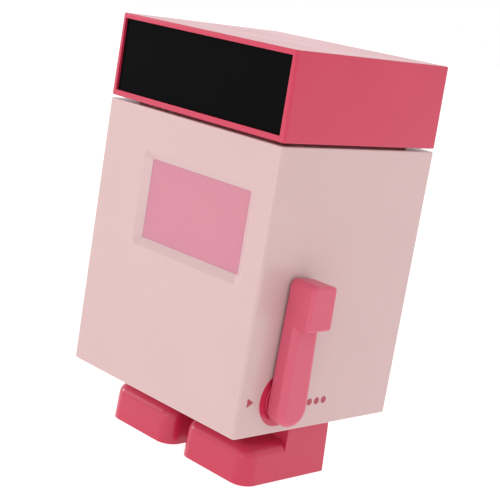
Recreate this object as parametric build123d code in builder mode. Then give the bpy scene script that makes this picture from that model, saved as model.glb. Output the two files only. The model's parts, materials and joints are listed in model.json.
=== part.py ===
from build123d import *
import os
from math import asin, cos, sin

# Digital coin counting jar in the shape of a small robot.
# Millimetres, +Z up, the face looks along -Y. The origin is on the surface that the
# robot stands on, under the middle of its body.
#
# The head is the counting lid: display, coin slot, coin sensor and batteries.
# The body is the jar. The arms are two switch levers, and the feet carry everything.

os.makedirs("parts", exist_ok=True)

# ---- driving dimensions -------------------------------------------------------------
BODY_W, BODY_D, BODY_H = 107.0, 95.0, 120.0   # jar, outside
WALL = 2.4                                    # moulded wall of the jar
EDGE_R = 1.4                                  # upright corner edges
RIM_R = 0.7                                   # top and bottom rims
FOOT_H = 28.2                                 # ground clearance of the jar
SOLE_PROUD = 0.3                              # rubber soles stand out of the feet
HEAD_H = 35.8
HEAD_GAP = 1.25                               # shadow gap between head and jar
HEAD_WALL = 2.2
HEAD_DRAFT = 0.6                              # each side leans in this much at the top
SNUG = 0.2                                    # play of a plate in its frame
RUNNING = 0.05                                # radial play of a shaft in its bore

BODY_Z0 = SOLE_PROUD + FOOT_H
BODY_Z1 = BODY_Z0 + BODY_H
HEAD_Z0 = BODY_Z1 + HEAD_GAP
HEAD_Z1 = HEAD_Z0 + HEAD_H
SIDE = BODY_W / 2
FRONT = -BODY_D / 2
BACK = BODY_D / 2

# jar
CAVITY_W, CAVITY_D = BODY_W - 2 * WALL, BODY_D - 2 * WALL
NECK_W, NECK_D, NECK_R = 88.0, 76.0, 8.0      # mouth of the jar
BASE_T = 2.4
FLOOR_Z, FLOOR_T = BODY_Z0 + 30.0, 2.0        # floor under the coins
POST = 8.0                                    # square corner posts

# chest window
WINDOW_X, WINDOW_Z = 8.3, BODY_Z0 + 82.0
WINDOW_W, WINDOW_H, WINDOW_R = 68.2, 42.0, 3.2
WINDOW_SLOPE, WINDOW_DEPTH = 3.8, 2.2         # sloping border: across, and into the wall
WINDOW_LIP = 1.0                              # wall left behind the border
WINDOW_RIM_R = 0.8                            # soft edge between the front and the border
PANE_W, PANE_H = WINDOW_W - 2 * WINDOW_SLOPE, WINDOW_H - 2 * WINDOW_SLOPE   # pane, as seen
PANE_R, PANE_T, PANE_LAP = 0.8, 1.5, 2.4      # corners; its plate, and how far that runs on behind

# arms
ARM_Y, ARM_Z = -23.9, BODY_Z0 + 15.1          # axis of both arms
HUB_R, DISC_R, SHAFT_R = 11.9, 8.7, 3.0
HUB_FLANGE_R, HUB_FLANGE_T = 12.6, 1.2
DISC_RECESS, DISC_PROUD, DISC_PLAY = 1.2, 0.7, 0.15
ARM_GAP = 0.9                                 # inner face of the arm off the jar
ARM_END_R, ARM_TOP_R = 8.0, 6.8               # half widths: round end, top
ARM_DROP = 1.8                                # middle of the round end, below the arm's axis
WRIST_UP, ARM_UP = 33.0, 51.3                 # heights over the arm's axis, at its back edge
HAND_RISE = 1.3                               # top of the hand: higher in front
ARM_OUT, WRIST_OUT, HAND_OUT = 9.3, 8.8, 14.5 # outer faces off the jar
ARM_EDGE_R, HAND_EDGE_R, HAND_BROW_R = 2.9, 1.4, 3.0
ARM_BACK_R = 0.7                              # edges next to the jar
BOSS_R, BOSS_PILOT = 6.0, 5.2                  # boss on the hub disc, and its screw hole

# feet
FEET_X = -1.65                                # the pair stands a little off the middle
FOOT_X0, FOOT_X1 = FEET_X + 3.65, FEET_X + 45.8
FOOT_Y0, LEG_Y0, FOOT_Y1 = -27.3, -4.1, 23.5
FOOT_DRAFT = 2.5                              # degrees that every side of a foot leans in
TOE_H = 17.2
TOE_CORNER_R, TOE_TOP_R, LEG_EDGE_R = 7.2, 5.6, 0.8
SOLE_T, SOLE_INSET = 2.0, 1.8

# head
BEZEL_SIDE, BEZEL_BOTTOM = 2.7, 2.5
PANEL_RECESS, PANEL_T = 1.2, 2.0
HEAD_IN_X, HEAD_IN_Y = 51.0, BODY_D / 2 - HEAD_WALL
LID_T = 2.4                                   # plate that closes the head from below
PLUG_DROP, PLUG_WALL = 8.0, 2.0
REST_W, REST_D = 94.0, 82.0                   # pad that the head stands on
SLOT_H, SLOT_W, SLOT_Y = 28.6, 4.8, 4.0       # coin slot, upright in the left side of the head
DROP_L = 32.0                                 # length of the opening that the coins drop through
CHUTE_WALL = 1.6

# screws, all self-tapping
SCREW_R, PILOT_R, CLEAR_R, HEAD_SCREW_R, SCREW_HEAD_T = 1.1, 1.15, 1.35, 2.3, 1.4
PILOT_DEPTH = 10.0                            # in the corner posts


def block(x, y, z, mode=Mode.ADD):
    """Box between two values on each axis."""
    centre = tuple((low + high) / 2 for low, high in (x, y, z))
    with Locations(centre):
        Box(x[1] - x[0], y[1] - y[0], z[1] - z[0], mode=mode)


def rod(plane, radius, length, mode=Mode.ADD):
    """Round bar that starts on a plane and runs along its normal."""
    with Locations(plane):
        Cylinder(radius, length, align=(Align.CENTER, Align.CENTER, Align.MIN), mode=mode)


def up(x, y, z):
    """Plane at a point, looking up."""
    return Plane(origin=(x, y, z), x_dir=(1, 0, 0), z_dir=(0, 0, 1))


def back(x, y, z):
    """Plane at a point, looking to the back of the robot."""
    return Plane(origin=(x, y, z), x_dir=(1, 0, 0), z_dir=(0, 1, 0))


def outward(off):
    """Plane on the right arm's axis, looking outwards, at a distance off the jar."""
    return Plane(origin=(SIDE + off, ARM_Y, ARM_Z), x_dir=(0, 1, 0), z_dir=(1, 0, 0))


def save(piece, label):
    """Name a finished piece and write it."""
    piece.part.label = label
    export_step(piece.part, f"parts/{label}.step")


def save_pair(piece, label, middle=0.0):
    """Write a right-hand piece, and its mirror image for the left side."""
    save(piece, f"right_{label}")
    with BuildPart() as twin:
        mirror(piece.part, about=Plane.YZ.offset(middle))
    save(twin, f"left_{label}")


# ---- jar ----------------------------------------------------------------------------
POST_X, POST_Y = (CAVITY_W - POST) / 2, (CAVITY_D - POST) / 2
WALL_BITE = 0.6                               # how far posts run into the wall

CONTACT_Y, CONTACTS = NECK_D / 2 + 1.6, (-6.0, 0.0, 6.0)
CONTACT_R, CONTACT_HEAD_R, CONTACT_HEAD_T = 0.8, 1.3, 0.8
CABLE_TOP = BODY_Z1 - WALL
CABLE_W, CABLE_T = 18.0, 0.4

# printed-colour inlays beside each hub: a triangle in front, three dots behind
MARK_T = 0.6
TRIANGLE = [(-19.2, 2.35), (-19.2, -1.8), (-15.5, 0.15)]   # from the arm's axis: back, up
DOT_R, DOT_PITCH, DOT_BACK, DOT_UP = 1.6, 4.4, 23.1, -3.7

with BuildPart() as right_marks:
    with BuildSketch(outward(-MARK_T)):
        with BuildLine():
            Polyline(*TRIANGLE, close=True)
        make_face()
        with Locations(*[(DOT_BACK + step * DOT_PITCH, DOT_UP) for step in (-1, 0, 1)]):
            Circle(DOT_R)
    extrude(amount=MARK_T)

save_pair(right_marks, "marks")

with BuildPart() as body_shell:
    with BuildSketch(Plane.XY.offset(BODY_Z0)):
        RectangleRounded(BODY_W, BODY_D, EDGE_R)
    extrude(amount=BODY_H)
    fillet(body_shell.edges().group_by(Axis.Z)[-1], RIM_R)
    fillet(body_shell.edges().group_by(Axis.Z)[0], RIM_R)
    block((-CAVITY_W / 2, CAVITY_W / 2), (-CAVITY_D / 2, CAVITY_D / 2), (BODY_Z0, BODY_Z1 - WALL),
          mode=Mode.SUBTRACT)
    with BuildSketch(Plane.XY.offset(BODY_Z1 - WALL)):
        RectangleRounded(NECK_W, NECK_D, NECK_R)
    extrude(amount=WALL, mode=Mode.SUBTRACT)
    # posts in the corners take the base screws and carry the coin floor
    with BuildSketch(Plane.XY.offset(BODY_Z0 + BASE_T)):
        with GridLocations(2 * POST_X + WALL_BITE, 2 * POST_Y + WALL_BITE, 2, 2):
            Rectangle(POST + WALL_BITE, POST + WALL_BITE)
    extrude(amount=FLOOR_Z - BODY_Z0 - BASE_T)
    with BuildSketch(Plane.XY.offset(BODY_Z0 + BASE_T)):
        with GridLocations(2 * POST_X, 2 * POST_Y, 2, 2):
            Circle(PILOT_R)
    extrude(amount=PILOT_DEPTH, mode=Mode.SUBTRACT)
    # dished surround of the chest window
    pane_y = FRONT + WINDOW_DEPTH
    block((WINDOW_X - WINDOW_W / 2, WINDOW_X + WINDOW_W / 2), (FRONT + WALL / 2, pane_y + WINDOW_LIP),
          (WINDOW_Z - WINDOW_H / 2, WINDOW_Z + WINDOW_H / 2))
    with BuildSketch(back(WINDOW_X, FRONT, WINDOW_Z)):
        RectangleRounded(WINDOW_W, WINDOW_H, WINDOW_R)
    with BuildSketch(back(WINDOW_X, pane_y, WINDOW_Z)):
        RectangleRounded(PANE_W, PANE_H, PANE_R)
    loft(mode=Mode.SUBTRACT)
    reach_x, reach_z = WINDOW_W / 2 + SNUG, WINDOW_H / 2 + SNUG
    rim = body_shell.edges().filter_by_position(Axis.Y, FRONT - SNUG, FRONT + SNUG)
    rim = rim.filter_by_position(Axis.X, WINDOW_X - reach_x, WINDOW_X + reach_x)
    rim = rim.filter_by_position(Axis.Z, WINDOW_Z - reach_z, WINDOW_Z + reach_z)
    fillet(rim, WINDOW_RIM_R)
    with BuildSketch(back(WINDOW_X, pane_y, WINDOW_Z)):
        RectangleRounded(PANE_W, PANE_H, PANE_R)
    extrude(amount=WINDOW_LIP, mode=Mode.SUBTRACT)
    # round seats for the two hub rings
    for side in (1, -1):
        hub_seat = Plane(origin=(side * SIDE, ARM_Y, ARM_Z), x_dir=(0, 1, 0), z_dir=(-side, 0, 0))
        with BuildSketch(hub_seat):
            Circle(HUB_R)
        extrude(amount=WALL, mode=Mode.SUBTRACT)
    # pockets of the marks, and stepped holes of the contact studs
    add(right_marks.part, mode=Mode.SUBTRACT)
    mirror(right_marks.part, about=Plane.YZ, mode=Mode.SUBTRACT)
    for x in CONTACTS:
        rod(up(x, CONTACT_Y, BODY_Z1 - CONTACT_HEAD_T), CONTACT_HEAD_R, CONTACT_HEAD_T,
            mode=Mode.SUBTRACT)
        rod(up(x, CONTACT_Y, CABLE_TOP), CONTACT_R, WALL, mode=Mode.SUBTRACT)
save(body_shell, "body_shell")

with BuildPart() as chest_window:
    with BuildSketch(back(WINDOW_X, pane_y, WINDOW_Z)):
        RectangleRounded(PANE_W, PANE_H, PANE_R)
    extrude(amount=WINDOW_LIP)
    with BuildSketch(back(WINDOW_X, pane_y + WINDOW_LIP, WINDOW_Z)):
        RectangleRounded(PANE_W + 2 * PANE_LAP, PANE_H + 2 * PANE_LAP, WINDOW_R / 2)
    extrude(amount=PANE_T)
save(chest_window, "chest_window")

with BuildPart() as coin_floor:
    block((-CAVITY_W / 2 + SNUG, CAVITY_W / 2 - SNUG), (-CAVITY_D / 2 + SNUG, CAVITY_D / 2 - SNUG),
          (FLOOR_Z, FLOOR_Z + FLOOR_T))
    # notch that lets the flat cable past
    block((-CABLE_W / 2 - 1, CABLE_W / 2 + 1), (CAVITY_D / 2 - 1.5, CAVITY_D / 2),
          (FLOOR_Z, FLOOR_Z + FLOOR_T), mode=Mode.SUBTRACT)
save(coin_floor, "coin_floor")

# ---- base and feet ------------------------------------------------------------------
FOOT_OFF, LEG_MID_Y = (FOOT_X0 + FOOT_X1) / 2 - FEET_X, (LEG_Y0 + FOOT_Y1) / 2
FOOT_SCREW_STEP = 11.4                        # each side of the middle of the foot
FOOT_SCREWS = [(FEET_X + side * FOOT_OFF + step * FOOT_SCREW_STEP, LEG_MID_Y)
               for side in (1, -1) for step in (-1, 1)]
BASE_SCREWS = [(x, y) for x in (-POST_X, POST_X) for y in (-POST_Y, POST_Y)]
BASE_SCREW_L, FOOT_SCREW_L, BOARD_SCREW_L = 9.0, 8.0, 4.1

with BuildPart() as body_base:
    with BuildSketch(Plane.XY.offset(BODY_Z0)):
        Rectangle(CAVITY_W - 2 * SNUG, CAVITY_D - 2 * SNUG)
    extrude(amount=BASE_T)
    with BuildSketch(Plane.XY.offset(BODY_Z0)):
        with Locations(*BASE_SCREWS, *FOOT_SCREWS):
            Circle(CLEAR_R)
    extrude(amount=BASE_T, mode=Mode.SUBTRACT)
    # sunk seats under the heads of the corner screws
    with BuildSketch(Plane.XY.offset(BODY_Z0)):
        with Locations(*BASE_SCREWS):
            Circle(HEAD_SCREW_R + SNUG)
    extrude(amount=SCREW_HEAD_T, mode=Mode.SUBTRACT)
save(body_base, "body_base")

with BuildPart() as base_screws:
    with BuildSketch(Plane.XY.offset(BODY_Z0)):
        with Locations(*BASE_SCREWS):
            Circle(HEAD_SCREW_R)
    extrude(amount=SCREW_HEAD_T)
    with BuildSketch(Plane.XY.offset(BODY_Z0 + SCREW_HEAD_T)):
        with Locations(*BASE_SCREWS):
            Circle(SCREW_R)
    extrude(amount=BASE_SCREW_L)
save(base_screws, "base_screws")

with BuildPart() as foot_screws:
    with BuildSketch(Plane.XY.offset(BODY_Z0 + BASE_T)):
        with Locations(*FOOT_SCREWS):
            Circle(HEAD_SCREW_R)
    extrude(amount=SCREW_HEAD_T)
    with BuildSketch(Plane.XY.offset(BODY_Z0 + BASE_T)):
        with Locations(*FOOT_SCREWS):
            Circle(SCREW_R)
    extrude(amount=-FOOT_SCREW_L)
save(foot_screws, "foot_screws")

FOOT_Z0 = SOLE_PROUD
FOOT_ROOF, PILLAR_L = WALL, 10.0

TOE_BACK = 6.0                                # how far the toe runs into the leg
SOLE_Y0 = FOOT_Y0 + TOE_CORNER_R

with BuildPart() as toe:
    with BuildSketch(Plane.XY.offset(FOOT_Z0)) as toe_print:
        with Locations(((FOOT_X0 + FOOT_X1) / 2, (FOOT_Y0 + LEG_Y0 + TOE_BACK) / 2)):
            Rectangle(FOOT_X1 - FOOT_X0, LEG_Y0 + TOE_BACK - FOOT_Y0)
        fillet(toe_print.vertices().group_by(Axis.Y)[0], TOE_CORNER_R)
    extrude(amount=TOE_H, taper=FOOT_DRAFT)
    fillet(toe.faces().sort_by(Axis.Z)[-1].edges().group_by(Axis.Y)[:-1], TOE_TOP_R)

with BuildPart() as right_foot:
    with BuildSketch(Plane.XY.offset(FOOT_Z0)) as leg_print:
        with Locations(((FOOT_X0 + FOOT_X1) / 2, LEG_MID_Y)):
            Rectangle(FOOT_X1 - FOOT_X0, FOOT_Y1 - LEG_Y0)
        fillet(leg_print.vertices().group_by(Axis.Y)[-1], LEG_EDGE_R)
    extrude(amount=FOOT_H, taper=FOOT_DRAFT)
    add(toe.part)
    # hollow from below, with a rebate for the sole
    with BuildSketch(Plane.XY.offset(FOOT_Z0)):
        with Locations(((FOOT_X0 + FOOT_X1) / 2, LEG_MID_Y)):
            Rectangle(FOOT_X1 - FOOT_X0 - 2 * WALL, FOOT_Y1 - LEG_Y0 - 2 * WALL)
    extrude(amount=FOOT_H - FOOT_ROOF, taper=FOOT_DRAFT, mode=Mode.SUBTRACT)
    block((FOOT_X0 + 1.3 * WALL, FOOT_X1 - 1.3 * WALL), (SOLE_Y0, LEG_Y0 + 2 * WALL),
          (FOOT_Z0, FOOT_Z0 + TOE_H - TOE_TOP_R), mode=Mode.SUBTRACT)
    block((FOOT_X0 + SOLE_INSET, FOOT_X1 - SOLE_INSET), (SOLE_Y0, FOOT_Y1 - SOLE_INSET),
          (FOOT_Z0, SOLE_T), mode=Mode.SUBTRACT)
    # pillars for the two screws that come down through the base
    with BuildSketch(Plane.XY.offset(BODY_Z0 - FOOT_ROOF)):
        with Locations(*FOOT_SCREWS[:2]):
            Circle(SCREW_R + WALL)
    extrude(amount=-PILLAR_L)
    with BuildSketch(Plane.XY.offset(BODY_Z0)):
        with Locations(*FOOT_SCREWS[:2]):
            Circle(PILOT_R)
    extrude(amount=-PILLAR_L, mode=Mode.SUBTRACT)
save_pair(right_foot, "foot", FEET_X)

with BuildPart() as right_sole:
    block((FOOT_X0 + SOLE_INSET + SNUG, FOOT_X1 - SOLE_INSET - SNUG),
          (SOLE_Y0 + SNUG, FOOT_Y1 - SOLE_INSET - SNUG), (0, SOLE_T))
    fillet(right_sole.edges().filter_by(Axis.Z), LEG_EDGE_R)
save_pair(right_sole, "sole", FEET_X)

# ---- arms ---------------------------------------------------------------------------
INSIDE = -WALL                                # inner face of the side wall, from its outer face
CLIP_T, CLIP_GAP = 0.8, 0.1
GROOVE = 0.5                                  # depth of the clip's groove in the shaft
SHAFT_IN = INSIDE - HUB_FLANGE_T - 8.6        # inner end of the shaft
SWITCH_FACE = INSIDE - HUB_FLANGE_T - CLIP_T - 0.4
SWITCH_SIZE, SWITCH_T = 15.0, 10.0

with BuildPart() as right_hub_ring:
    rod(outward(INSIDE), HUB_R - RUNNING, WALL)
    rod(outward(INSIDE - HUB_FLANGE_T), HUB_FLANGE_R, HUB_FLANGE_T)
    rod(outward(-DISC_RECESS), DISC_R + DISC_PLAY, DISC_RECESS, mode=Mode.SUBTRACT)
    rod(outward(INSIDE - HUB_FLANGE_T), SHAFT_R + RUNNING, WALL + HUB_FLANGE_T, mode=Mode.SUBTRACT)
save_pair(right_hub_ring, "hub_ring")

ARM_SCREW_L = 14.0
with BuildPart() as right_arm_shaft:
    rod(outward(-DISC_RECESS + CLIP_GAP), DISC_R, DISC_RECESS - CLIP_GAP + DISC_PROUD)
    fillet(right_arm_shaft.faces().sort_by(Axis.X)[-1].edges(), 0.25)
    rod(outward(SHAFT_IN), SHAFT_R, -SHAFT_IN)
    rod(outward(INSIDE - HUB_FLANGE_T - CLIP_T - CLIP_GAP), SHAFT_R, CLIP_T, mode=Mode.SUBTRACT)
    rod(outward(INSIDE - HUB_FLANGE_T - CLIP_T - CLIP_GAP), SHAFT_R - GROOVE, CLIP_T)
    rod(outward(SHAFT_IN), CLEAR_R, DISC_PROUD - SHAFT_IN, mode=Mode.SUBTRACT)
save_pair(right_arm_shaft, "arm_shaft")

with BuildPart() as right_arm_clip:
    rod(outward(INSIDE - HUB_FLANGE_T - CLIP_T - CLIP_GAP), SHAFT_R + 2.4, CLIP_T)
    rod(outward(INSIDE - HUB_FLANGE_T - CLIP_T - CLIP_GAP), SHAFT_R - GROOVE + 0.02, CLIP_T,
        mode=Mode.SUBTRACT)
    # open side, so that it pushes on across the shaft
    with BuildSketch(outward(INSIDE - HUB_FLANGE_T - CLIP_T - CLIP_GAP)):
        with Locations((0, -SHAFT_R)):
            Rectangle(3.6, 2 * SHAFT_R)
    extrude(amount=CLIP_T, mode=Mode.SUBTRACT)
save_pair(right_arm_clip, "arm_clip")

ARM_LEAN = asin((ARM_END_R - ARM_TOP_R) / (ARM_UP + ARM_DROP))


def arm_half_width(height):
    """Half width of the arm, which narrows evenly from its round end to its top."""
    return (ARM_END_R - (height + ARM_DROP) * sin(ARM_LEAN)) / cos(ARM_LEAN)


with BuildPart() as hand:
    with BuildSketch(outward(ARM_GAP)):
        with BuildLine():
            Polyline((-arm_half_width(WRIST_UP), WRIST_UP), (arm_half_width(WRIST_UP), WRIST_UP),
                     (arm_half_width(ARM_UP), ARM_UP), (-arm_half_width(ARM_UP), ARM_UP + HAND_RISE),
                     close=True)
        make_face()
    extrude(amount=HAND_OUT - ARM_GAP)
    along = hand.edges().filter_by(Axis.X).sort_by(Axis.Z)
    fillet(along[-1], HAND_BROW_R)
    fillet(along[:-1], HAND_EDGE_R)
    fillet(hand.faces().sort_by(Axis.X)[-1].edges(), HAND_EDGE_R)

with BuildPart() as right_arm:
    with BuildSketch(outward(ARM_GAP)):
        with Locations((0, -ARM_DROP)):
            Circle(ARM_END_R)
        with BuildLine():
            hip = ARM_END_R * sin(ARM_LEAN) - ARM_DROP
            bar_top = ARM_UP - HAND_BROW_R
            Polyline((-arm_half_width(hip), hip), (arm_half_width(hip), hip),
                     (arm_half_width(bar_top), bar_top), (-arm_half_width(bar_top), bar_top), close=True)
        make_face()
    extrude(amount=ARM_OUT - ARM_GAP)
    # the outer face leans in towards the wrist
    slope = (ARM_OUT - WRIST_OUT) / WRIST_UP
    split(bisect_by=Plane(origin=(SIDE + ARM_OUT, ARM_Y, ARM_Z), z_dir=(1, 0, slope)), keep=Keep.BOTTOM)
    fillet(right_arm.faces().sort_by(Axis.X)[-1].edges().group_by(Axis.Z)[:-1], ARM_EDGE_R)
    add(hand.part)
    fillet(right_arm.faces().sort_by(Axis.X)[0].edges(), ARM_BACK_R)
    # round boss that stands on the hub disc
    rod(outward(DISC_PROUD), BOSS_R, ARM_GAP - DISC_PROUD)
    rod(outward(DISC_PROUD), PILOT_R, BOSS_PILOT, mode=Mode.SUBTRACT)
save_pair(right_arm, "arm")

with BuildPart() as right_arm_screw:
    rod(outward(SHAFT_IN - SCREW_HEAD_T), HEAD_SCREW_R, SCREW_HEAD_T)
    rod(outward(SHAFT_IN), SCREW_R, DISC_PROUD - SHAFT_IN + BOSS_PILOT - SNUG)
save_pair(right_arm_screw, "arm_screw")

with BuildPart() as right_arm_switch:
    switch_x = (SIDE + SWITCH_FACE - SWITCH_T, SIDE + SWITCH_FACE)
    block(switch_x, (ARM_Y - SWITCH_SIZE / 2, ARM_Y + SWITCH_SIZE / 2),
          (ARM_Z - SWITCH_SIZE / 2, ARM_Z + SWITCH_SIZE / 2))
    rod(outward(SHAFT_IN), SHAFT_R + RUNNING, SWITCH_FACE - SHAFT_IN, mode=Mode.SUBTRACT)
    rod(outward(SHAFT_IN - SCREW_HEAD_T - 0.3), HEAD_SCREW_R + 0.3, SCREW_HEAD_T + 0.3,
        mode=Mode.SUBTRACT)
    # foot that stands on the base plate
    block(switch_x, (ARM_Y - SWITCH_SIZE / 2, ARM_Y - SWITCH_SIZE / 2 + 3),
          (BODY_Z0 + BASE_T, ARM_Z - SWITCH_SIZE / 2))
    block(switch_x, (ARM_Y + SWITCH_SIZE / 2 - 3, ARM_Y + SWITCH_SIZE / 2),
          (BODY_Z0 + BASE_T, ARM_Z - SWITCH_SIZE / 2))
save_pair(right_arm_switch, "arm_switch")

# ---- electrical link between jar and head -------------------------------------------
SWITCH_X = SIDE + SWITCH_FACE - SWITCH_T / 2

with BuildPart() as contact_studs:
    for x in CONTACTS:
        rod(up(x, CONTACT_Y, BODY_Z1 - CONTACT_HEAD_T), CONTACT_HEAD_R, CONTACT_HEAD_T)
        rod(up(x, CONTACT_Y, CABLE_TOP), CONTACT_R, WALL)
save(contact_studs, "contact_studs")

with BuildPart() as flat_cable:
    wall_y = (CAVITY_D / 2 - CABLE_T, CAVITY_D / 2)
    base_top = BODY_Z0 + BASE_T
    block((-CABLE_W / 2, CABLE_W / 2), (NECK_D / 2, CAVITY_D / 2), (CABLE_TOP - CABLE_T, CABLE_TOP))
    block((-CABLE_W / 2, CABLE_W / 2), wall_y, (base_top, CABLE_TOP))
    block((-CABLE_W / 2, CABLE_W / 2), (ARM_Y, CAVITY_D / 2), (base_top, base_top + CABLE_T))
    block((-SWITCH_X, SWITCH_X), (ARM_Y - 4, ARM_Y + 4), (base_top, base_top + CABLE_T))
    for side in (-1, 1):
        block((side * SWITCH_X - 3, side * SWITCH_X + 3), (ARM_Y - CABLE_T / 2, ARM_Y + CABLE_T / 2),
              (base_top, ARM_Z - SWITCH_SIZE / 2))
save(flat_cable, "flat_cable")

# ---- head: shell and display --------------------------------------------------------
PANEL_Z0, PANEL_Z1 = HEAD_Z0 + BEZEL_BOTTOM, HEAD_Z1 - HEAD_WALL
PANEL_X = SIDE - BEZEL_SIDE
LID_TOP = HEAD_Z0 + LID_T
ROOF = HEAD_Z1 - HEAD_WALL
FRAME_Y0 = FRONT + PANEL_RECESS + PANEL_T     # back of the display panel
FRAME_T, DISPLAY_W, DISPLAY_H, DISPLAY_T = 2.0, 74.0, 24.0, 3.4
BOARD_Y0, BOARD_T, BOARD_W, BOARD_H = FRAME_Y0 + DISPLAY_T, 1.6, 92.0, 27.0
MID_Z = (LID_TOP + ROOF) / 2
RAMP_H = 1.2                                  # fall of the ramp that the coins roll in on
HEAD_POSTS = [(side * (HEAD_IN_X - POST / 2), y)
              for side in (-1, 1) for y in (-32.0, HEAD_IN_Y - POST / 2)]

# battery door, reset button: both in the back of the head
DOOR_W, DOOR_H, DOOR_T = 66.0, 24.0, 2.0
DOOR_PLAY = 0.2
DOOR_SCREW_X = 30.0
BUTTON_X, BUTTON_R = 38.5, 3.2

with BuildPart() as head_shell:
    with BuildSketch(Plane.XZ.offset(-FRONT)):
        with BuildLine():
            Polyline((-SIDE, HEAD_Z0), (SIDE, HEAD_Z0), (SIDE - HEAD_DRAFT, HEAD_Z1),
                     (-SIDE + HEAD_DRAFT, HEAD_Z1), close=True)
        make_face()
    extrude(amount=-BODY_D)
    upright = head_shell.edges().filter_by(lambda edge: edge.length < 2 * HEAD_H)
    fillet(upright, EDGE_R)
    fillet(head_shell.faces().sort_by(Axis.Z)[-1].edges(), RIM_R)
    fillet(head_shell.faces().sort_by(Axis.Z)[0].edges(), RIM_R)
    block((-HEAD_IN_X, HEAD_IN_X), (-HEAD_IN_Y, HEAD_IN_Y), (HEAD_Z0, ROOF), mode=Mode.SUBTRACT)
    # front left open inside the bezel
    block((-PANEL_X, PANEL_X), (FRONT, -HEAD_IN_Y), (PANEL_Z0, PANEL_Z1), mode=Mode.SUBTRACT)
    # coin slot, for coins on edge
    block((-SIDE, -HEAD_IN_X), (SLOT_Y - SLOT_W / 2, SLOT_Y + SLOT_W / 2),
          (LID_TOP + RAMP_H, LID_TOP + RAMP_H + SLOT_H), mode=Mode.SUBTRACT)
    # posts for the screws that hold the lid plate
    with BuildSketch(Plane.XY.offset(LID_TOP)):
        with Locations(*HEAD_POSTS):
            Rectangle(POST + WALL_BITE, POST)
    extrude(amount=ROOF - LID_TOP + WALL_BITE)
    with BuildSketch(Plane.XY.offset(LID_TOP)):
        with Locations(*HEAD_POSTS):
            Circle(PILOT_R)
    extrude(amount=PILOT_DEPTH, mode=Mode.SUBTRACT)
    # battery opening and button hole
    block((-DOOR_W / 2, DOOR_W / 2), (HEAD_IN_Y, BACK), (MID_Z - DOOR_H / 2, MID_Z + DOOR_H / 2),
          mode=Mode.SUBTRACT)
    rod(back(BUTTON_X, HEAD_IN_Y, MID_Z), BUTTON_R + DOOR_PLAY / 2, HEAD_WALL, mode=Mode.SUBTRACT)
save(head_shell, "head_shell")

with BuildPart() as display_panel:
    block((-PANEL_X + SNUG / 4, PANEL_X - SNUG / 4), (FRONT + PANEL_RECESS, FRAME_Y0),
          (PANEL_Z0 + SNUG / 4, PANEL_Z1 - SNUG / 4))
save(display_panel, "display_panel")

BOARD_HOLES = [(x, MID_Z + z) for x in (-42.0, 42.0) for z in (-10.5, 10.5)]
with BuildPart() as display_frame:
    block((-HEAD_IN_X + SNUG, HEAD_IN_X - SNUG), (FRAME_Y0, FRAME_Y0 + FRAME_T),
          (LID_TOP + SNUG, ROOF - SNUG))
    block((-DISPLAY_W / 2, DISPLAY_W / 2), (FRAME_Y0, FRAME_Y0 + FRAME_T),
          (MID_Z - DISPLAY_H / 2, MID_Z + DISPLAY_H / 2), mode=Mode.SUBTRACT)
    for x, z in BOARD_HOLES:
        rod(back(x, FRAME_Y0 + FRAME_T, z), 3.0, DISPLAY_T - FRAME_T)
        rod(back(x, FRAME_Y0 + 0.4, z), PILOT_R, DISPLAY_T - 0.4, mode=Mode.SUBTRACT)
save(display_frame, "display_frame")

with BuildPart() as display_module:
    block((-DISPLAY_W / 2 + SNUG, DISPLAY_W / 2 - SNUG), (FRAME_Y0, BOARD_Y0),
          (MID_Z - DISPLAY_H / 2 + SNUG, MID_Z + DISPLAY_H / 2 - SNUG))
save(display_module, "display_module")

with BuildPart() as main_board:
    block((-BOARD_W / 2, BOARD_W / 2), (BOARD_Y0, BOARD_Y0 + BOARD_T),
          (MID_Z - BOARD_H / 2, MID_Z + BOARD_H / 2))
    for x, z in BOARD_HOLES:
        rod(back(x, BOARD_Y0, z), CLEAR_R, BOARD_T, mode=Mode.SUBTRACT)
save(main_board, "main_board")

with BuildPart() as main_chip:
    block((-9, 9), (BOARD_Y0 + BOARD_T, BOARD_Y0 + BOARD_T + 1.6), (MID_Z - 6, MID_Z + 6))
save(main_chip, "main_chip")

with BuildPart() as buzzer:
    rod(back(-28, BOARD_Y0 + BOARD_T, MID_Z), 6.0, 4.5)
    rod(back(-28, BOARD_Y0 + BOARD_T + 1, MID_Z), 1.0, 3.5, mode=Mode.SUBTRACT)
save(buzzer, "buzzer")

with BuildPart() as board_screws:
    for x, z in BOARD_HOLES:
        rod(back(x, BOARD_Y0 + BOARD_T, z), HEAD_SCREW_R, SCREW_HEAD_T)
        rod(back(x, BOARD_Y0 + BOARD_T - BOARD_SCREW_L, z), SCREW_R, BOARD_SCREW_L)
save(board_screws, "board_screws")

# ---- head: lid plate ----------------------------------------------------------------
PASSAGE_X, PASSAGE_Y = DROP_L / 2 + 0.4, SLOT_W / 2 + 0.4

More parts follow.
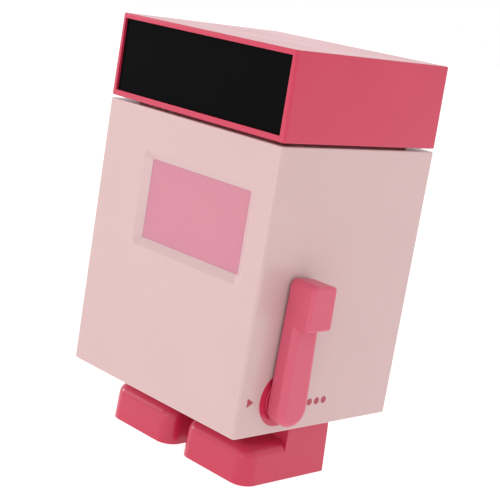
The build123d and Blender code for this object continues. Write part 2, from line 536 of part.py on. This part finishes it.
with BuildPart() as lid_plate:
    block((-HEAD_IN_X + SNUG, HEAD_IN_X - SNUG), (-HEAD_IN_Y + SNUG, HEAD_IN_Y - SNUG),
          (HEAD_Z0, LID_TOP))
    # pad that stands on the jar, and the plug below it
    with BuildSketch(Plane.XY.offset(BODY_Z1)):
        RectangleRounded(REST_W, REST_D, NECK_R)
    extrude(amount=HEAD_GAP)
    with BuildSketch(Plane.XY.offset(BODY_Z1 - PLUG_DROP)):
        RectangleRounded(NECK_W - 3 * SNUG, NECK_D - 3 * SNUG, NECK_R - 1.5 * SNUG)
    extrude(amount=PLUG_DROP)
    with BuildSketch(Plane.XY.offset(BODY_Z1 - PLUG_DROP)):
        RectangleRounded(NECK_W - 2 * PLUG_WALL, NECK_D - 2 * PLUG_WALL, NECK_R - PLUG_WALL)
    extrude(amount=PLUG_DROP + HEAD_GAP, mode=Mode.SUBTRACT)
    # way through for the coins
    block((-PASSAGE_X, PASSAGE_X), (SLOT_Y - PASSAGE_Y, SLOT_Y + PASSAGE_Y), (HEAD_Z0, LID_TOP),
          mode=Mode.SUBTRACT)
    for x in CONTACTS:
        rod(up(x, CONTACT_Y, BODY_Z1), CONTACT_R + RUNNING, HEAD_GAP + LID_T, mode=Mode.SUBTRACT)
    with BuildSketch(Plane.XY.offset(HEAD_Z0)):
        with Locations(*HEAD_POSTS):
            Circle(CLEAR_R)
    extrude(amount=LID_T, mode=Mode.SUBTRACT)
    with BuildSketch(Plane.XY.offset(HEAD_Z0)):
        with Locations(*HEAD_POSTS):
            Circle(HEAD_SCREW_R + SNUG)
    extrude(amount=SCREW_HEAD_T, mode=Mode.SUBTRACT)
save(lid_plate, "lid_plate")

with BuildPart() as lid_screws:
    with BuildSketch(Plane.XY.offset(HEAD_Z0)):
        with Locations(*HEAD_POSTS):
            Circle(HEAD_SCREW_R)
    extrude(amount=SCREW_HEAD_T)
    with BuildSketch(Plane.XY.offset(HEAD_Z0 + SCREW_HEAD_T)):
        with Locations(*HEAD_POSTS):
            Circle(SCREW_R)
    extrude(amount=BASE_SCREW_L)
save(lid_screws, "lid_screws")

with BuildPart() as contact_pins:
    for x in CONTACTS:
        rod(up(x, CONTACT_Y, BODY_Z1), CONTACT_R, HEAD_GAP + LID_T + 1.2)
save(contact_pins, "contact_pins")

# ---- head: coin chute and sensor ----------------------------------------------------
LEVER_X, LEVER_Z, LEVER_L = 22.5, ROOF - 9.0, 19.0
LEVER_REST = 30.0                             # degrees below level, at rest
LEVER_T, LEVER_H, LEVER_HUB_R, ROLLER_R, PIN_R = 3.0, 3.4, 3.4, 1.8, 1.5
EAR_Y, EAR_T = 4.2, 1.6                       # ears of the lever's bracket, off the slot's middle
EAR_HALF = 5.0
CHUTE_X, CHUTE_Y = DROP_L / 2 + CHUTE_WALL, SLOT_W / 2 + CHUTE_WALL

with BuildPart() as coin_chute:
    block((-HEAD_IN_X + SNUG, CHUTE_X), (SLOT_Y - CHUTE_Y, SLOT_Y + CHUTE_Y), (LID_TOP, ROOF))
    for side in (-1, 1):
        ear_y = sorted((SLOT_Y + side * EAR_Y, SLOT_Y + side * (EAR_Y + EAR_T)))
        block((DROP_L / 2 - 4, LEVER_X + 4), ear_y, (LEVER_Z - EAR_HALF, LEVER_Z + EAR_HALF))
        web_y = sorted((SLOT_Y + side * (CHUTE_Y - 0.5), SLOT_Y + side * (EAR_Y + EAR_T)))
        block((DROP_L / 2 - 4, CHUTE_X), web_y, (LEVER_Z - EAR_HALF, LEVER_Z + EAR_HALF))
    # coins roll in on a ramp, and drop at its end
    with BuildSketch(Plane.XZ.offset(-SLOT_Y)):
        with BuildLine():
            Polyline((-HEAD_IN_X, LID_TOP + RAMP_H), (-DROP_L / 2, LID_TOP + RAMP_H / 2),
                     (-DROP_L / 2, LID_TOP), (DROP_L / 2, LID_TOP), (DROP_L / 2, ROOF),
                     (-HEAD_IN_X, ROOF), close=True)
        make_face()
    extrude(amount=SLOT_W / 2, both=True, mode=Mode.SUBTRACT)
    # tall slit that the lever swings in
    block((0, CHUTE_X), (SLOT_Y - LEVER_T / 2 - 0.3, SLOT_Y + LEVER_T / 2 + 0.3), (LID_TOP, LEVER_Z + 4),
          mode=Mode.SUBTRACT)
    rod(back(LEVER_X, SLOT_Y - EAR_Y - EAR_T, LEVER_Z), PIN_R + RUNNING, 2 * (EAR_Y + EAR_T),
        mode=Mode.SUBTRACT)
save(coin_chute, "coin_chute")

with BuildPart() as coin_lever:
    with BuildSketch(back(LEVER_X, SLOT_Y - LEVER_T / 2, LEVER_Z).rotated((0, -LEVER_REST, 0))):
        with Locations((-LEVER_L / 2, 0)):
            Rectangle(LEVER_L, LEVER_H)
        with Locations((-LEVER_L, 0)):
            Circle(ROLLER_R)
        Circle(LEVER_HUB_R)
        Circle(PIN_R, mode=Mode.SUBTRACT)
    extrude(amount=LEVER_T)
save(coin_lever, "coin_lever")

with BuildPart() as lever_pin:
    rod(back(LEVER_X, SLOT_Y - EAR_Y - EAR_T, LEVER_Z), PIN_R, 2 * (EAR_Y + EAR_T) + 3)
save(lever_pin, "lever_pin")

with BuildPart() as lever_spring:
    rod(back(LEVER_X, SLOT_Y - EAR_Y + 0.3, LEVER_Z), 2.7, 2.0)
    rod(back(LEVER_X, SLOT_Y - EAR_Y + 0.3, LEVER_Z), 1.9, 2.0, mode=Mode.SUBTRACT)
save(lever_spring, "lever_spring")

with BuildPart() as coin_sensor:
    block((LEVER_X - 5, LEVER_X + 5), (SLOT_Y + EAR_Y + EAR_T, SLOT_Y + EAR_Y + EAR_T + 5),
          (LEVER_Z - 5, LEVER_Z + 5))
    rod(back(LEVER_X, SLOT_Y + EAR_Y + EAR_T, LEVER_Z), PIN_R + RUNNING, 3.5, mode=Mode.SUBTRACT)
save(coin_sensor, "coin_sensor")

# ---- head: batteries, their door and the reset button -------------------------------
CELL_R, CELL_L, CELL_PITCH = 5.2, 44.0, 10.8
CASE_X, CASE_Y0, CASE_WALL = 27.0, HEAD_IN_Y - 13.0, 1.2
CASE_Z0, CASE_Z1 = MID_Z - DOOR_H / 2, MID_Z + DOOR_H / 2
CELL_Y = CASE_Y0 + CASE_WALL + CELL_R + 0.2
TAB_T, TAB_W = 0.5, 8.0

with BuildPart() as battery_case:
    block((-CASE_X, CASE_X), (CASE_Y0, HEAD_IN_Y), (CASE_Z0, CASE_Z1))
    block((-CASE_X + CASE_WALL, CASE_X - CASE_WALL), (CASE_Y0 + CASE_WALL, HEAD_IN_Y),
          (CASE_Z0 + CASE_WALL / 2, CASE_Z1 - CASE_WALL / 2), mode=Mode.SUBTRACT)
    # ear that takes the screw of the door
    block((CASE_X - 0.5, DOOR_SCREW_X + 2.8), (HEAD_IN_Y - 6, HEAD_IN_Y), (MID_Z - 4, MID_Z + 4))
    rod(back(DOOR_SCREW_X, HEAD_IN_Y - 6, MID_Z), PILOT_R, 6, mode=Mode.SUBTRACT)
save(battery_case, "battery_case")

with BuildPart() as batteries:
    for row, end in ((-1, 1), (1, -1)):
        cell_z = MID_Z + row * CELL_PITCH / 2
        rod(Plane(origin=(-end * CELL_L / 2, CELL_Y, cell_z), z_dir=(end, 0, 0)), CELL_R, CELL_L - 1)
        rod(Plane(origin=(-end * CELL_L / 2, CELL_Y, cell_z), z_dir=(end, 0, 0)), 1.9, CELL_L)
save(batteries, "batteries")

with BuildPart() as battery_contacts:
    for side in (-1, 1):
        for row in (-1, 1):
            tab_x = sorted((side * (CASE_X - CASE_WALL), side * (CASE_X - CASE_WALL - TAB_T)))
            tab_z = MID_Z + row * CELL_PITCH / 2
            block(tab_x, (CELL_Y - TAB_W / 2, CELL_Y + TAB_W / 2),
                  (tab_z - TAB_W / 2, tab_z + TAB_W / 2))
            # cone of the contact spring, against the end of the cell
            with BuildSketch(Plane(origin=(side * (CASE_X - CASE_WALL - TAB_T), CELL_Y, tab_z),
                                   z_dir=(-side, 0, 0))):
                Circle(3.2)
            cell_end = Plane(origin=(side * (CELL_L / 2 + 0.02), CELL_Y, tab_z), z_dir=(-side, 0, 0))
            with BuildSketch(cell_end):
                Circle(1.6)
            loft()
save(battery_contacts, "battery_contacts")

with BuildPart() as battery_door:
    block((-DOOR_W / 2 + DOOR_PLAY, DOOR_W / 2 - DOOR_PLAY), (BACK - DOOR_T, BACK),
          (CASE_Z0 + DOOR_PLAY, CASE_Z1 - DOOR_PLAY))
    fillet(battery_door.edges().filter_by(Axis.Y), 1.0)
    rod(back(DOOR_SCREW_X, BACK - DOOR_T, MID_Z), CLEAR_R, DOOR_T, mode=Mode.SUBTRACT)
    rod(back(DOOR_SCREW_X, BACK - SCREW_HEAD_T, MID_Z), HEAD_SCREW_R + SNUG, SCREW_HEAD_T,
        mode=Mode.SUBTRACT)
    # finger groove at the other end
    with BuildSketch(back(-DOOR_W / 2 + 8, BACK - 0.9, MID_Z)):
        SlotOverall(12, 3, rotation=90)
    extrude(amount=0.9, mode=Mode.SUBTRACT)
save(battery_door, "battery_door")

with BuildPart() as door_screw:
    rod(back(DOOR_SCREW_X, BACK - SCREW_HEAD_T, MID_Z), HEAD_SCREW_R, SCREW_HEAD_T - 0.1)
    rod(back(DOOR_SCREW_X, HEAD_IN_Y - 5, MID_Z), SCREW_R, 5 + HEAD_WALL - SCREW_HEAD_T)
save(door_screw, "door_screw")

BUTTON_FLANGE_R, BUTTON_FLANGE_T, BUTTON_SUNK = 3.9, 1.2, 0.3
PLUNGER_Y = HEAD_IN_Y - BUTTON_FLANGE_T - 1.2
with BuildPart() as reset_button:
    rod(back(BUTTON_X, HEAD_IN_Y - 0.05, MID_Z), BUTTON_R, HEAD_WALL + 0.05 - BUTTON_SUNK)
    fillet(reset_button.faces().sort_by(Axis.Y)[-1].edges(), 0.5)
    rod(back(BUTTON_X, HEAD_IN_Y - BUTTON_FLANGE_T - 0.05, MID_Z), BUTTON_FLANGE_R, BUTTON_FLANGE_T)
    rod(back(BUTTON_X, PLUNGER_Y, MID_Z), 1.4, 1.5)
save(reset_button, "reset_button")

with BuildPart() as reset_switch:
    block((BUTTON_X - 3, BUTTON_X + 3), (PLUNGER_Y - 5.2, PLUNGER_Y - 1.2), (MID_Z - 3, MID_Z + 3))
save(reset_switch, "reset_switch")

with BuildPart() as button_board:
    block((BUTTON_X - 6, BUTTON_X + 3.8), (PLUNGER_Y - 6.8, PLUNGER_Y - 5.2), (LID_TOP, MID_Z + 7))
save(button_board, "button_board")
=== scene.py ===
import bpy
import json
import math
from mathutils import Matrix, Vector


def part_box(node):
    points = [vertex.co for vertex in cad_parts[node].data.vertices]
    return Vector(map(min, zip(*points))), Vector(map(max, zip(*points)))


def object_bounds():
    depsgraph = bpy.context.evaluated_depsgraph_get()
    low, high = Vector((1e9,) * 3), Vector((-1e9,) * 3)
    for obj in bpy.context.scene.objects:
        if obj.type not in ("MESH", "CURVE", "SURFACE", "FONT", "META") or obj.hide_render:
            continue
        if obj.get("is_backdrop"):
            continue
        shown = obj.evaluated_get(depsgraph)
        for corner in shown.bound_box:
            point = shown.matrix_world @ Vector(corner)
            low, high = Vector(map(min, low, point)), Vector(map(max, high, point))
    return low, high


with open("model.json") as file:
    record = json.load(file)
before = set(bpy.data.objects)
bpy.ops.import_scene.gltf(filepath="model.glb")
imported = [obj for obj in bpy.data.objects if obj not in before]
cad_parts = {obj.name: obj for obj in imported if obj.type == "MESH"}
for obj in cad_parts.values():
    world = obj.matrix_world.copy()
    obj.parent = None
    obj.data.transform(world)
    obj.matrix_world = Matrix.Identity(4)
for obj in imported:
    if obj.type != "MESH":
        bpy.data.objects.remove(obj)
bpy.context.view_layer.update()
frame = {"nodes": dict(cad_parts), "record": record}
nodes = frame["nodes"]
scene = bpy.context.scene

# Lengths are in metres unless a comment says otherwise.

# ---- camera -------------------------------------------------------------------------
CAMERA_AZIMUTH, CAMERA_ELEVATION, CAMERA_ROLL = 43.953, 11.959, 9.477   # degrees
CAMERA_DISTANCE = 0.57465
CAMERA_LENS, SENSOR = 93.059, 36.0          # mm
CLIP_NEAR, CLIP_FAR = 0.02, 20
AIM_X, AIM_Y = -0.00025, -0.00024
AIM_HEIGHT = 0.5264          # how far up the jar the camera aims, as a share of the jar's height


def make_camera():
    """The camera looks at the middle of the jar and is rolled, so that the robot leans."""
    low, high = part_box("body_shell")
    aim = Vector((AIM_X, AIM_Y, low.z + AIM_HEIGHT * (high.z - low.z)))
    azimuth = math.radians(CAMERA_AZIMUTH)
    elevation = math.radians(CAMERA_ELEVATION)
    roll = math.radians(CAMERA_ROLL)
    back = Vector((math.sin(azimuth) * math.cos(elevation),
                   -math.cos(azimuth) * math.cos(elevation),
                   math.sin(elevation)))
    level = Vector((math.cos(azimuth), math.sin(azimuth), 0))
    upright = back.cross(level)
    right = level * math.cos(roll) + upright * math.sin(roll)
    up = back.cross(right)
    data = bpy.data.cameras.new("camera")
    data.lens, data.sensor_width = CAMERA_LENS, SENSOR
    data.clip_start, data.clip_end = CLIP_NEAR, CLIP_FAR
    camera = bpy.data.objects.new("camera", data)
    scene.collection.objects.link(camera)
    turned = Matrix((right, up, back)).transposed().to_4x4()
    camera.matrix_world = Matrix.Translation(aim + back * CAMERA_DISTANCE) @ turned
    scene.camera = camera


# ---- materials ----------------------------------------------------------------------
PLASTIC_IOR = 1.49
NOISE_LOW, NOISE_HIGH = 0.3, 0.7             # the middle range of noise, where most of it lies
CLOUD_SIZE, GLOSS_SIZE = 0.030, 0.025        # patches of colour and of gloss in plastic
GLOSS_SPREAD = 0.02                          # roughness, to each side of the stated one
GRAIN_SIZE, GRAIN_HEIGHT = 0.0012, 0.000002  # surface of a plain moulding
SCATTER_DEPTH, SCATTER_RADIUS = 0.003, (1.0, 0.45, 0.4)
METAL_SHADE = 0.85                           # how dark metal gets, as a share of its colour
METAL_BELOW, METAL_ABOVE = 0.06, 0.08        # roughness, below and above the stated one

# slot: colour and tint in sRGB, roughness, and what differs from a plain moulding
PLASTICS = {
    "pale_pink": ((201, 169, 168), (199, 167, 166), 0.24, dict(scatter=0.10, coat=0.2)),
    "deep_pink": ((193, 41, 75), (191, 38, 72), 0.24, dict(scatter=0.06, coat=0.4, gloss=0.35)),
    "arm_pink": ((202, 84, 108), (200, 81, 105), 0.36, dict(scatter=0.06, coat=0.1, gloss=0.35)),
    "mark_pink": ((166, 58, 75), (163, 55, 72), 0.42, {}),
    "sole_rubber": ((120, 46, 58), (112, 42, 54), 0.75, dict(grain=0.0008, height=0.00005)),
    "board_green": ((30, 92, 60), (24, 84, 54), 0.35, {}),
    "part_black": ((28, 28, 30), (34, 34, 36), 0.45, {}),
    "lever_white": ((232, 230, 224), (226, 224, 218), 0.38, {}),
    "cell_wrap": ((52, 66, 92), (46, 60, 86), 0.32, {}),
    "cable_film": ((206, 164, 92), (198, 154, 84), 0.32, {}),
}
# slot: colour in sRGB, roughness
METALS = {
    "screw_steel": ((196, 196, 198), 0.36),
    "contact_brass": ((216, 184, 112), 0.36),
}


def linear(red, green, blue):
    """sRGB from 0 to 255, as the linear colour that shaders take."""
    def one(value):
        share = value / 255
        return share / 12.92 if share <= 0.04045 else ((share + 0.055) / 1.055) ** 2.4
    return (one(red), one(green), one(blue), 1.0)


class Look:
    """A node material, with short calls for the nodes that the finishes share."""

    def __init__(self, name):
        self.material = bpy.data.materials.new(name)
        self.material.use_nodes = True
        self.tree = self.material.node_tree
        self.shader = self.tree.nodes["Principled BSDF"]
        self.place = self.tree.nodes.new("ShaderNodeTexCoord").outputs["Object"]

    def set(self, **values):
        """Constant values, set on the shader's own sockets."""
        for key, value in values.items():
            self.shader.inputs[key.replace("_", " ")].default_value = value

    def feed(self, value, socket):
        """A socket of the shader takes the value."""
        self.tree.links.new(value, self.shader.inputs[socket])

    def noise(self, size, detail=3.0):
        """Noise whose grains are about so many metres across."""
        node = self.tree.nodes.new("ShaderNodeTexNoise")
        node.inputs["Scale"].default_value = 1 / size
        node.inputs["Detail"].default_value = detail
        self.tree.links.new(self.place, node.inputs["Vector"])
        return node.outputs["Fac"]

    def spread(self, value, low, high):
        """The noise, stretched from its middle range to low..high."""
        node = self.tree.nodes.new("ShaderNodeMapRange")
        node.inputs["From Min"].default_value = NOISE_LOW
        node.inputs["From Max"].default_value = NOISE_HIGH
        node.inputs["To Min"].default_value = low
        node.inputs["To Max"].default_value = high
        self.tree.links.new(value, node.inputs["Value"])
        return node.outputs["Result"]

    def mix(self, value, first, second):
        """Between two colours, as the value says."""
        node = self.tree.nodes.new("ShaderNodeMix")
        node.data_type = "RGBA"
        node.inputs["A"].default_value = first
        node.inputs["B"].default_value = second
        self.tree.links.new(value, node.inputs["Factor"])
        return node.outputs["Result"]

    def bump(self, value, height):
        """Relief so many metres high, where the value is 1."""
        node = self.tree.nodes.new("ShaderNodeBump")
        node.inputs["Distance"].default_value = height
        self.tree.links.new(value, node.inputs["Height"])
        self.tree.links.new(node.outputs["Normal"], self.shader.inputs["Normal"])


def moulded(name, colour, tint, rough, grain=GRAIN_SIZE, height=GRAIN_HEIGHT, scatter=0.0,
            coat=0.0, gloss=0.5):
    """Moulded plastic: a little cloudiness in the colour, uneven gloss, and a fine grain."""
    look = Look(name)
    cloud = look.spread(look.noise(CLOUD_SIZE, detail=2.0), low=0.0, high=1.0)
    look.feed(look.mix(cloud, linear(*colour), linear(*tint)), "Base Color")
    patches = look.noise(GLOSS_SIZE, detail=1.0)
    look.feed(look.spread(patches, rough - GLOSS_SPREAD, rough + GLOSS_SPREAD), "Roughness")
    look.bump(look.noise(grain, detail=1.0), height)
    look.set(IOR=PLASTIC_IOR, Specular_IOR_Level=gloss, Coat_Weight=coat, Coat_Roughness=rough)
    if scatter:
        look.set(Subsurface_Weight=scatter, Subsurface_Scale=SCATTER_DEPTH,
                 Subsurface_Radius=SCATTER_RADIUS)
    return look.material


def metal(name, colour, rough):
    """Plated metal with uneven colour and gloss and a fine grain."""
    look = Look(name)
    bright = linear(*colour)
    dark = tuple(channel * METAL_SHADE for channel in bright[:3]) + (1,)
    look.feed(look.mix(look.noise(size=0.004), bright, dark), "Base Color")
    patches = look.noise(size=0.0015, detail=4.0)
    look.feed(look.spread(patches, rough - METAL_BELOW, rough + METAL_ABOVE), "Roughness")
    look.bump(look.noise(size=0.0006), height=0.00001)
    look.set(Metallic=1.0)
    return look.material


def smoked_panel(name):
    """The black display face: smooth, and dull enough to show hardly any reflection."""
    look = Look(name)
    blacks = linear(12, 12, 12), linear(14, 14, 14)
    look.feed(look.mix(look.noise(size=0.020), *blacks), "Base Color")
    patches = look.noise(size=0.008, detail=4.0)
    look.feed(look.spread(patches, low=0.06, high=0.10), "Roughness")
    look.bump(look.noise(size=0.010, detail=2.0), height=0.000004)
    look.set(IOR=PLASTIC_IOR, Specular_IOR_Level=0.01)
    return look.material


def milky_pane(name):
    """The chest window: pink plastic that lets a little light through."""
    look = Look(name)
    pinks = linear(214, 135, 157), linear(217, 138, 155)
    look.feed(look.mix(look.noise(size=0.018), *pinks), "Base Color")
    patches = look.noise(size=0.008, detail=4.0)
    look.feed(look.spread(patches, low=0.10, high=0.16), "Roughness")
    look.bump(look.noise(size=0.008, detail=2.0), height=0.000010)
    look.set(IOR=PLASTIC_IOR, Transmission_Weight=0.2, Subsurface_Weight=0.3,
             Subsurface_Scale=0.004)
    return look.material


def make_looks():
    """One material for each material slot of the record, by the slot's name."""
    looks = {}
    for name, (colour, tint, rough, finish) in PLASTICS.items():
        looks[name] = moulded(name, colour, tint, rough, **finish)
    for name, (colour, rough) in METALS.items():
        looks[name] = metal(name, colour, rough)
    looks["display_black"] = smoked_panel("display_black")
    looks["window_pink"] = milky_pane("window_pink")
    return looks


def paint_nodes(looks):
    """Every CAD node takes the look of its material slot in the record."""
    slots = {part["node"]: part["material_slot"] for part in frame["record"]["subparts"]}
    for name, node in nodes.items():
        node.data.materials.clear()
        node.data.materials.append(looks[slots[name]])


# ---- studio -------------------------------------------------------------------------
FLOOR_SIZE, FLOOR_PATCH, FLOOR_GLOW = 8.0, 0.05, 0.9
WHITE = (1, 1, 1, 1)
SKY_STRENGTH = 1.0
MIDDLE = None                # a light with this aim points at the middle of the robot
# name: place, aim, width and height, watts
LIGHTS = {
    "key_light": ((-2.8, -1.7, 0.75), MIDDLE, (0.8, 0.8), 15.5),
    "low_light": ((0.0, -0.62, 0.03), (0, 0, 0.14), (0.45, 0.04), 0.22),
    "front_light": ((0.35, -1.2, 0.8), MIDDLE, (0.9, 0.7), 1.2),
}


def area_light(name, place, aim, size, energy):
    """A white rectangle of light at a place, turned to shine at the aim."""
    data = bpy.data.lights.new(name, "AREA")
    data.shape, data.size, data.size_y = "RECTANGLE", size[0], size[1]
    data.energy = energy
    light = bpy.data.objects.new(name, data)
    light.location = place
    light.rotation_mode = "QUATERNION"
    light.rotation_quaternion = (Vector(place) - Vector(aim)).to_track_quat("Z", "Y")
    scene.collection.objects.link(light)


def make_studio():
    """White floor and sky, a far light at the left, and weak ones in front, low and high."""
    bpy.ops.mesh.primitive_plane_add(size=FLOOR_SIZE, location=(0, 0, 0))
    floor = bpy.context.object
    floor.name = "floor"
    floor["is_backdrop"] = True
    look = Look("floor_white")
    greys = linear(150, 150, 150), linear(152, 152, 152)
    look.feed(look.mix(look.noise(FLOOR_PATCH), *greys), "Base Color")
    look.set(Roughness=0.9, Emission_Color=WHITE, Emission_Strength=FLOOR_GLOW)
    floor.data.materials.append(look.material)

    world = bpy.data.worlds.new("world")
    scene.world = world
    world.use_nodes = True
    background = world.node_tree.nodes["Background"]
    background.inputs["Color"].default_value = WHITE
    background.inputs["Strength"].default_value = SKY_STRENGTH

    low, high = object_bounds()
    middle = (low + high) / 2
    for name, (place, aim, size, energy) in LIGHTS.items():
        area_light(name, place, middle if aim is MIDDLE else aim, size, energy)
    scene.view_settings.view_transform = "Standard"


make_camera()
paint_nodes(make_looks())
make_studio()
